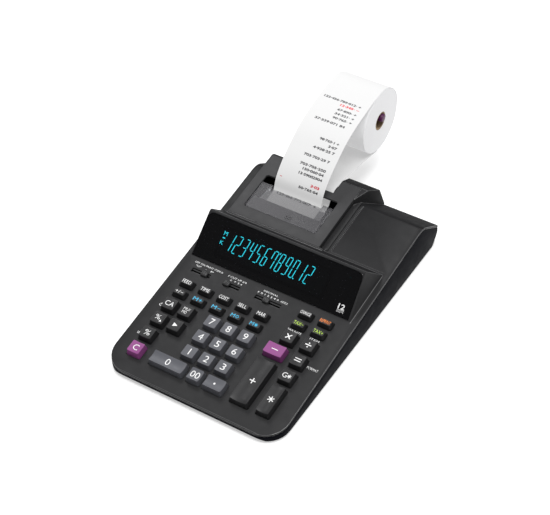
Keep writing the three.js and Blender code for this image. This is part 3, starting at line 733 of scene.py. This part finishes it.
def diamond(ink, x, s, r, top):
    """Open diamond from four strokes."""
    corners = [Vector((r, 0)), Vector((0, r * 1.1)), Vector((-r, 0)), Vector((0, -r * 1.1))]
    for i, a in enumerate(corners):
        b = corners[(i + 1) % 4]
        ink.shape([(x + p.x, s + p.y) for p in (a, b, b * 0.68, a * 0.68)], top)


for name in KEYS:
    legend(name)

# ---------------------------------------------------------------- print on the deck
deck_print = Print(DECK)
deck_print.write("SET", -84.2, 44.8, 2.3, 4.4)
deck_print.write("FORMAT", 86.0, 84.6, 2.6, 11.7)
deck_print.write("TAX RATE", 48.3, 114.2, 2.0, 15.0)
deck_print.write("ITEM", 70.8, 114.0, 2.0, 10.0)
for angle in range(45, 316, 30):
    a, b = math.radians(angle + 90), math.radians(angle + 122)
    arc = [Vector((math.cos(t), math.sin(t))) for t in (a, b)]
    deck_print.shape([(-84.4 + p.x, 82.4 + p.y) for p in
                      (arc[0] * 1.7, arc[1] * 1.7, arc[1] * 1.2, arc[0] * 1.2)])
deck_print.bar(-84.65, -84.15, 82.4, 84.6)
deck_print.write("OFF ON PRINT ITEM K", -67.0, 142.2, 2.0, 33.0)
deck_print.write("▽  ·  P", -70.0, 138.4, 2.0, 21.0)
deck_print.write("F CUT UP 5/4", -33.6, 142.0, 2.0, 21.0)
deck_print.write("↓ ↑ 5 4", -33.0, 138.4, 2.0, 14.0)
deck_print.write("F 0 1 2 3 4 6", 4.2, 138.6, 2.0, 23.5)
deck_print.write("DECIMAL", 5.0, 142.4, 1.7, 16.0)
deck_print.write("ADD2", 22.0, 138.6, 2.0, 7.6)
deck_print.place("deck_lettering", M["white"], BODY, "deck_plastic")

# ---------------------------------------------------------------- switch knobs
SLOT_S = 132.4
SWITCHES = {"switch_function_knob": -66.1, "switch_rounding_knob": -40.0,
            "switch_decimal_knob": 5.4}


def build_knob(name, x):
    """Rounded slider with three grip ribs across its top, on a stem through the slot."""
    def ring(w, d, r, z):
        return [(x + p.x, SLOT_S + p.y, z) for p in rounded_ring(w, d, r, 5, 2)]
    solid = Solid().loft([ring(7.0, 6.0, 1.5, 0.25), ring(7.4, 6.4, 1.7, 0.55),
                          ring(7.2, 6.2, 1.7, 1.6), ring(6.4, 5.4, 1.7, 2.45),
                          ring(5.2, 4.4, 1.6, 2.75)])
    for dx in (-1.5, 0.0, 1.5):
        def rib(w, d, z, dx=dx):
            return [(x + dx + p.x, SLOT_S + p.y, z) for p in rounded_ring(w, d, 0.3, 2, 1)]
        solid.loft([rib(0.9, 4.2, 2.5), rib(0.8, 4.0, 3.0), rib(0.45, 3.6, 3.2)])
    solid.loft([[(x + p.x, SLOT_S + p.y, z) for p in rounded_ring(2.6, 1.3, 0.3, 2, 1)]
                for z in (-3.4, 0.3)])
    place(name[:-5] + "_grip", solid.mesh(name[:-5] + "_grip", DECK, 38.0), M["knob"], name,
          [name])


for name, x in SWITCHES.items():
    build_knob(name, x)

# Beds of the three slots: grey strips on both sides of the slit that the stem slides in.
SLOTS = ((-70.5, 21.5), (-35.0, 19.0), (7.0, 29.0))  # middle and length along the deck
BED_IN, BED_OUT = 0.9, 2.58
BED_Z = (-2.3, -1.7)
BED_CLEARANCE = 0.02
bed = Solid()
for x, length in SLOTS:
    reach = length / 2 - BED_CLEARANCE
    for side in (-1, 1):
        bed.loft([[(x + u * reach, SLOT_S + side * v, z) for u, v in
                   ((-1, BED_IN), (1, BED_IN), (1, BED_OUT), (-1, BED_OUT))] for z in BED_Z])
place("slot_bed", bed.mesh("slot_bed", DECK), M["bed"], BODY)

# ---------------------------------------------------------------- display
# Segments a to g in a cell 1 wide and 2 high, as strokes between two corners.
SEGMENTS = {"a": ((0, 2), (1, 2)), "b": ((1, 2), (1, 1)), "c": ((1, 1), (1, 0)),
            "d": ((0, 0), (1, 0)), "e": ((0, 0), (0, 1)), "f": ((0, 1), (0, 2)),
            "g": ((0, 1), (1, 1))}
DIGITS = {"0": "abcdef", "1": "bc", "2": "abged", "3": "abgcd", "4": "fgbc", "5": "afgcd",
          "6": "afgedc", "7": "fabc", "8": "abcdefg", "9": "abfgcd"}
DIGIT_W, DIGIT_H, DIGIT_PITCH = 4.3, 18.2, 8.22
DIGIT_X0, DIGIT_S0 = -62.8, 17.2
STROKE = 0.8
LEAN = 0.16
GLOW_DEPTH = 4.3


def stroke(ink, a, b, half, gap):
    """Tapered display segment from a to b."""
    a, b = Vector(a), Vector(b)
    along = (b - a).normalized()
    side = Vector((-along.y, along.x)) * half
    a, b = a + along * gap, b - along * gap
    tip = along * half
    ink.shape([tuple(p) for p in (a, a + tip + side, b - tip + side, b, b - tip - side,
                                  a + tip - side)])


digits = Print(GLASS @ Matrix.Translation((0, 0, -GLOW_DEPTH)))
for i, char in enumerate("123456789012"):
    for seg in DIGITS[char]:
        ends = []
        for u, v in SEGMENTS[seg]:
            s = v * DIGIT_H / 2
            ends.append((DIGIT_X0 + i * DIGIT_PITCH + u * DIGIT_W + LEAN * s, DIGIT_S0 + s))
        stroke(digits, *ends, STROKE / 2, 0.4)
tick_x = DIGIT_X0 + 6 * DIGIT_PITCH + DIGIT_W + LEAN * DIGIT_H
stroke(digits, (tick_x + 1.2, DIGIT_S0 + DIGIT_H - 2.2), (tick_x + 1.9, DIGIT_S0 + DIGIT_H + 0.4), 0.4, 0)
digits.dot(DIGIT_X0 + 9 * DIGIT_PITCH + DIGIT_W + 1.5, DIGIT_S0, 0.65)
digits.write("M", DIGIT_X0 - 4.6, DIGIT_S0 + 15.6, 4.2, 4.0, 0.0)
digits.bar(DIGIT_X0 - 6.4, DIGIT_X0 - 3.6, DIGIT_S0 + 10.2, DIGIT_S0 + 11.3)
digits.write("K", DIGIT_X0 - 5.4, DIGIT_S0 + 5.6, 4.0, 3.6, 0.0)
digits.place("display_digits", M["glow"], BODY, "tube_glass")

lens_print = Print(GLASS)
lens_print.write("12", 76.3, 10.4, 5.2, 7.0, 0.02)
lens_print.bar(72.8, 80.2, 6.9, 7.3)
lens_print.write("DIGITS", 76.5, 5.4, 1.6, 7.4)
lens_print.place("lens_lettering", M["white"], BODY, "lens")

# ---------------------------------------------------------------- tear window
WX0, WX1, WY0 = -76.3, 8.2, 62.8
EDGE_Y, LUG_Y, WINDOW_T, WINDOW_DROP = 94.4, 98.4, 1.8, 0.5
COS = math.cos(SLOPE)


def tear_outline():
    g = 0.6
    points = [(WX0 + g, WY0 + g + 2), (WX0 + g + 0.6, WY0 + g + 0.6), (WX0 + g + 2, WY0 + g),
              (WX1 - g - 2, WY0 + g), (WX1 - g - 0.6, WY0 + g + 0.6), (WX1 - g, WY0 + g + 2),
              (WX1 - g, LUG_Y), (PAPER_X1 + 1.5, LUG_Y)]
    teeth = 40
    step = (PAPER_X1 - PAPER_X0 + 3) / teeth
    for i in range(teeth):
        points.append((PAPER_X1 + 1.5 - i * step, EDGE_Y))
        points.append((PAPER_X1 + 1.5 - (i + 0.5) * step, EDGE_Y - 0.7))
    points += [(PAPER_X0 - 1.5, EDGE_Y), (PAPER_X0 - 1.5, LUG_Y), (WX0 + g, LUG_Y)]
    return points


def build_window():
    outline = tear_outline()
    top = [(x, y / COS, -WINDOW_DROP) for x, y in outline]
    low = [(x, y / COS, -WINDOW_DROP - WINDOW_T) for x, y in outline]
    solid = Solid().loft([low, top])
    place("tear_flap", solid.mesh("tear_flap", COVER, 25.0), M["window"], "tear_window",
          ["tear_window"])
    dots = Solid()
    for ix in range(3):
        for iy in range(2):
            cx, cy = -29.6 + ix * 2.3, 67.4 + iy * 2.6
            rings = [[(cx + p.x * f, (cy + p.y * f) / COS, -WINDOW_DROP + z)
                      for p in circle(0.75, 16)]
                     for f, z in ((1.0, -0.2), (1.0, 0.05), (0.75, 0.28), (0.35, 0.38))]
            dots.loft(rings)
    place("tear_grip", dots.mesh("tear_grip", COVER, 60.0), M["knob"], "tear_window")


build_window()

# Under the window: a light paper guide behind and a dark shield over the front of the platen.
under = Solid()
under.loft([[(x, y / COS, z) for x, z in ((-67.2, -5.6), (-67.2, -5.0), (1.2, -5.0), (1.2, -5.6))]
            for y in (81.5, 93.5)])
place("paper_guide", under.mesh("paper_guide", COVER), M["guide"], BODY)
shield = Solid()
shield.loft([[(x, y / COS, z) for x, z in ((-75, -3.2), (-75, -2.6), (7, -2.6), (7, -3.2))]
             for y in (64.0, 80.0)])
place("platen_shield", shield.mesh("platen_shield", COVER), M["shield"], BODY)

# ---------------------------------------------------------------- paper
TAPE_T = 0.2


def catmull(points, steps):
    """Smooth curve through the points, ends included."""
    pts = [Vector(p) for p in points]
    pts = [pts[0] * 2 - pts[1]] + pts + [pts[-1] * 2 - pts[-2]]
    out = []
    for i in range(1, len(pts) - 2):
        p0, p1, p2, p3 = pts[i - 1:i + 3]
        for j in range(steps):
            t = j / steps
            out.append(0.5 * ((2 * p1) + (p2 - p0) * t + (2 * p0 - 5 * p1 + 4 * p2 - p3) * t * t
                              + (3 * p1 - p0 - 3 * p2 + p3) * t ** 3))
    out.append(pts[-2])
    return out


def hump(y, dz):
    return (y, deck_z(y) + HUMP_H + dz)


def arc_points(cy, cz, r, a0, a1, step):
    count = max(int(abs(a1 - a0) / step), 2)
    return [Vector((cy + r * math.cos(math.radians(a0 + (a1 - a0) * i / count)),
                    cz + r * math.sin(math.radians(a0 + (a1 - a0) * i / count))))
            for i in range(count + 1)]


LIFT = ROLL_R + 0.5
leave = math.radians(-100)
feed = catmull([(ROLL_Y + LIFT * math.cos(leave), ROLL_Z + LIFT * math.sin(leave)),
                (182, 39.2), (152, 44.6), (133, 46.8), (123, 46.6), (117, 42.5), (111.5, 35.5)], 8)
wrap = arc_points(PLATEN_Y, PLATEN_Z, PLATEN_R + 0.5, -75, -235, 8)
rise = catmull([hump(82, -4.1), hump(90, -3.8), hump(94.6, -3.1), hump(97, -0.2), (102.3, 58),
                (115, 70.7), (130.5, 81.2), (148, 91), (168, 97.8), (190, 102.3),
                (205, 104.8)], 8)
over = arc_points(ROLL_Y, ROLL_Z, LIFT, 92, 0, 4)
TAPE = feed + wrap + rise + over


def tape_normals(path):
    out = []
    for i, p in enumerate(path):
        d = (path[min(i + 1, len(path) - 1)] - path[max(i - 1, 0)]).normalized()
        out.append(Vector((-d.y, d.x)))
    return out


def build_tape():
    normals = tape_normals(TAPE)
    rings = []
    for p, n in zip(TAPE, normals):
        a, b = p + n * TAPE_T / 2, p - n * TAPE_T / 2
        rings.append([(PAPER_X0, a.x, a.y), (PAPER_X1, a.x, a.y), (PAPER_X1, b.x, b.y),
                      (PAPER_X0, b.x, b.y)])
    place("tape", Solid().loft(rings).mesh("tape", ROW, 32.0), M["paper"], BODY,
          ["paper_tape"])


build_tape()


class TapePrint(Print):
    """Lettering wrapped on the tape: y runs down the tape from the start of its rise."""

    def __init__(self):
        super().__init__(ROW)
        self.path = rise + over[1:]
        self.normal = tape_normals(self.path)
        self.length = [0.0]
        for a, b in zip(self.path, self.path[1:]):
            self.length.append(self.length[-1] + (b - a).length)

    def _add(self, verts, faces, surface):
        base = len(self.verts)
        for x, y, z in verts:
            i = max(j for j, l in enumerate(self.length[:-1]) if l <= max(y, 0))
            f = (y - self.length[i]) / (self.length[i + 1] - self.length[i])
            p = self.path[i].lerp(self.path[i + 1], f)
            n = self.normal[i].lerp(self.normal[i + 1], f).normalized()
            q = p + n * (TAPE_T / 2 + 0.03 * (z + 0.6))
            self.verts.append((x, q.x, q.y))
        self.faces.extend(tuple(base + i for i in f) for f in faces)


# Each printed row: text, left and right end, distance along the tape, ribbon.
ROWS = [("123·456·789·012· +", -56.1, -12.7, 130.4, "tape_black"),
        ("12·345· −", -34.4, -12.6, 125.5, "tape_red"),
        ("67·890· +", -34.1, -12.1, 119.3, "tape_black"),
        ("34·321· +", -34.2, -11.6, 113.7, "tape_black"),
        ("90·765· +", -33.7, -11.4, 108.3, "tape_black"),
        ("37·339·071 84", -50.7, -15.6, 101.4, "tape_black"),
        ("98·765·1 +", -33.7, -11.3, 81.4, "tape_black"),
        ("3·07", -21.3, -11.4, 76.3, "tape_black"),
        ("4·938·25 7", -36.4, -11.1, 70.8, "tape_black"),
        ("703·703·29 7", -42.0, -11.9, 60.9, "tape_black"),
        ("703·705·250", -41.8, -11.8, 50.9, "tape_black"),
        ("150·060·04", -36.8, -12.2, 46.3, "tape_black"),
        ("13·59002904", -39.2, -11.7, 41.0, "tape_black"),
        ("−", -57.6, -54.9, 31.0, "tape_red"),
        ("3·03", -21.7, -11.7, 32.4, "tape_red"),
        ("50·765·04", -34.2, -11.6, 27.3, "tape_black"),
        ("123·456·772·007· +", -55.9, -10.0, 13.0, "tape_black")]
ROW_H = 2.9
for color in ("tape_black", "tape_red"):
    ink = TapePrint()
    for text, left, right, y, ribbon in ROWS:
        if ribbon == color:
            height = 0.6 if text == "−" else ROW_H
            ink.write(text, (left + right) / 2, y, height, right - left, 0.045)
    ink.place(color + "_figures", M[color], BODY, "paper")

e = 0.35
roll = Solid().revolve([
    (PAPER_X0, CORE_R + 0.15), (PAPER_X0, 18), (PAPER_X0, 27), (PAPER_X0, ROLL_R - e),
    (PAPER_X0 + e, ROLL_R), (PAPER_X1 - e, ROLL_R), (PAPER_X1, ROLL_R - e), (PAPER_X1, 27),
    (PAPER_X1, 18), (PAPER_X1, CORE_R + 0.15)], ROLL_Y, ROLL_Z, 128)
place("wound_paper", roll.mesh("wound_paper", ROW), M["roll"], "paper_roll", ["paper_roll"])
core = Solid().revolve([
    (PAPER_X0, CORE_BORE), (PAPER_X0, CORE_R), (PAPER_X1 - 0.3, CORE_R), (PAPER_X1 - 0.3, CORE_BORE)],
    ROLL_Y, ROLL_Z, 96)
place("core_tube", core.mesh("core_tube", ROW), M["cardboard"], "paper_roll",
      ["roll_core"])

SP_Y, SP_Z, SP_R = ROLL_Y + 2.8, ROLL_Z + 2.5, 4.25
x0, x1 = -67.2, PAPER_X1 + 2.2
spindle = Solid().revolve([
    (x0, 0.01), (x0, 10.4), (x0 + 0.6, 11), (PAPER_X0 - 3.6, 11), (PAPER_X0 - 3, 10.4),
    (PAPER_X0 - 3, SP_R), (x1 - 0.6, SP_R), (x1 - 0.15, SP_R - 0.2), (x1, SP_R - 0.6),
    (x1, 0.01)], SP_Y, SP_Z, 48)
place("spindle_rod", spindle.mesh("spindle_rod", ROW), M["spindle"], BODY,
      ["roll_spindle"])

# ---------------------------------------------------------------- inner pieces keep their CAD shape
for node, key in {"display_tube": "tube", "print_unit": "steel", "platen_roller": "rubber",
                  "ink_roller": "ink_roll", "print_motor": "motor", "key_mat": "mat",
                  "power_transformer": "lamination", "circuit_board": "board"}.items():
    nodes[node].data.materials.clear()
    nodes[node].data.materials.append(M[key])
    shaded(nodes[node].data)

# ---------------------------------------------------------------- floor, light, camera
FLOOR_HALF = 6.0
FLOOR_DROP = 0.0002
FLOOR_ALBEDO = 0.55
FLOOR_GLOW = 0.5
WORLD_STRENGTH = 0.22
corners = [(sx * FLOOR_HALF, sy * FLOOR_HALF, 0) for sx, sy in ((-1, -1), (1, -1), (1, 1), (-1, 1))]
floor = bpy.data.objects.new("floor", mesh_from("floor", corners, [(0, 1, 2, 3)],
                                                Matrix.Translation((0, 0, -FLOOR_DROP))))
bpy.context.scene.collection.objects.link(floor)
floor_shade = Shade("floor", (FLOOR_ALBEDO, FLOOR_ALBEDO, FLOOR_ALBEDO, 1), 0.9, specular=0.05)
floor_shade.put("Emission Color", (1.0, 1.0, 1.0, 1.0))
floor_shade.put("Emission Strength", FLOOR_GLOW)
floor.data.materials.append(floor_shade.vary(0.004, 3.0).mat)

world = bpy.data.worlds.new("studio")
bpy.context.scene.world = world
world.use_nodes = True
world.node_tree.nodes["Background"].inputs["Color"].default_value = (1, 1, 1, 1)
world.node_tree.nodes["Background"].inputs["Strength"].default_value = WORLD_STRENGTH


def softbox(name, place_at, look_at, size, power):
    light = bpy.data.lights.new(name, "AREA")
    light.shape = "RECTANGLE"
    light.size, light.size_y = size
    light.energy = power
    obj = bpy.data.objects.new(name, light)
    obj.location = place_at
    obj.rotation_euler = (Vector(look_at) - Vector(place_at)).to_track_quat("-Z", "Y").to_euler()
    bpy.context.scene.collection.objects.link(obj)


# Name, place, target, size in metres, power in watts.
softbox("top_light", (0.3, -0.2, 2.6), (0.0, 0.0, 0), (1.5, 1.5), 82.0)
softbox("edge_light", (0.9, 1.3, 2.5), (0.05, 0.0, 0), (0.4, 0.4), 6.0)
softbox("back_light", (-0.7, 0.5, 1.05), (-0.1, -0.05, 0), (0.5, 0.5), 8.0)
softbox("right_light", (1.9, -0.2, 0.7), (0, 0.1, 0.08), (1.0, 0.8), 1.5)

SENSOR, LENS = 36.0, 100.69
camera = bpy.data.objects.new("camera", bpy.data.cameras.new("camera"))
camera.data.sensor_width = SENSOR
camera.data.lens = LENS
camera.data.clip_end = 50.0
camera.matrix_world = Matrix(((0.8468, -0.3518, 0.3986, 0.58871), (0.5302, 0.6148, -0.5838, -0.90895),
                              (-0.0396, 0.7058, 0.7071, 1.10496), (0, 0, 0, 1)))
bpy.context.scene.collection.objects.link(camera)
bpy.context.scene.camera = camera
bpy.context.scene.view_settings.view_transform = "Standard"
